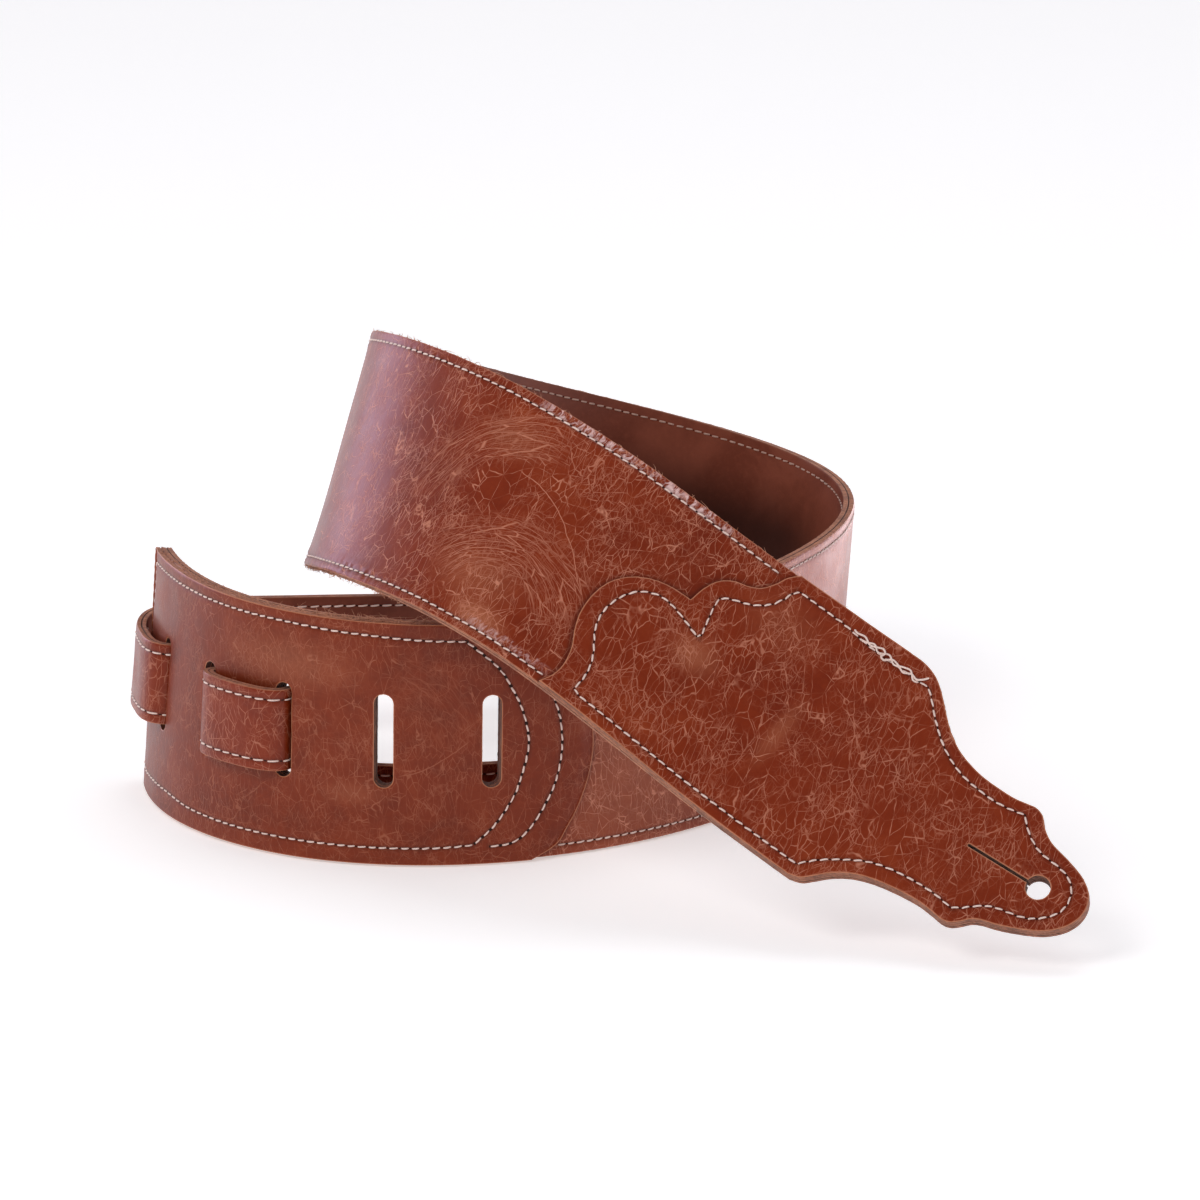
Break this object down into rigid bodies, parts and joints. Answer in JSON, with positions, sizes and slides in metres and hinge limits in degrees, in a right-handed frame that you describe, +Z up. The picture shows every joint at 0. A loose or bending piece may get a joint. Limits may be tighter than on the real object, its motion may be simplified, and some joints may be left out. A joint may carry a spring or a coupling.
{
  "type": "guitar strap",
  "caption": "Wide leather guitar strap with slotted adjuster panel, shaped pin-hole tab and a narrow tail woven through the slots, standing as a loop.",
  "frame": {"origin": "middle of the bounding box, on the surface the strap stands on", "axes": "+Z up; -Y towards the front, where the pin tab hangs over the slotted panel; +X to the right"},
  "size_m": [0.2906, 0.3214, 0.1514],
  "materials": {
    "grain_leather": "glossy pull-up grain, reddish brown",
    "core_leather": "raw tan leather",
    "lining_leather": "smooth dark lining",
    "thread": "off-white waxed sewing thread"
  },
  "bodies": {
    "strap": {"strap_face": "grain_leather", "strap_backing": "lining_leather", "slotted_panel": "grain_leather", "tab_yoke": "grain_leather", "upper_edge_thread": "thread", "lower_edge_thread": "thread", "panel_edge_thread": "thread", "panel_arc_thread_inner": "thread", "panel_arc_thread_outer": "thread", "yoke_thread": "thread", "upper_bobbin_thread": "thread", "lower_bobbin_thread": "thread", "tail_woven_face": "grain_leather", "tail_woven_lining": "lining_leather", "tail_woven_thread_upper": "thread", "tail_woven_thread_lower": "thread"},
    "pin_tab": {"tab_end": "grain_leather", "tab_core": "core_leather", "tab_backing": "lining_leather", "tab_thread": "thread", "tab_bobbin_thread": "thread"},
    "tail_run": {"tail_run_face": "grain_leather", "tail_run_lining": "lining_leather", "tail_run_thread_upper": "thread", "tail_run_thread_lower": "thread"},
    "tail_tip": {"tail_tip_face": "grain_leather", "tail_tip_lining": "lining_leather", "tail_tip_thread_upper": "thread", "tail_tip_thread_lower": "thread"}
  },
  "joints": [
    {"name": "tab_flex", "type": "hinge", "parent": "strap", "child": "pin_tab", "pos_m": [0.10171, -0.134, 0.03619], "axis": [0.6221, 0.4161, 0.6632], "range_deg": [-25, 25], "stiffness_Nm_per_rad": 0.3},
    {"name": "tail_swing", "type": "hinge", "parent": "strap", "child": "tail_run", "pos_m": [-0.12741, 0.06188, 0.03919], "axis": [0.0337, 0.0036, 0.9994], "range_deg": [-1, 5], "stiffness_Nm_per_rad": 0.03},
    {"name": "tail_fold", "type": "hinge", "parent": "tail_run", "child": "tail_tip", "pos_m": [0.06059, 0.05188, 0.01329], "axis": [0.0019, -0.0442, 0.999], "range_deg": [-20, 0], "stiffness_Nm_per_rad": 0.03}
  ]
}
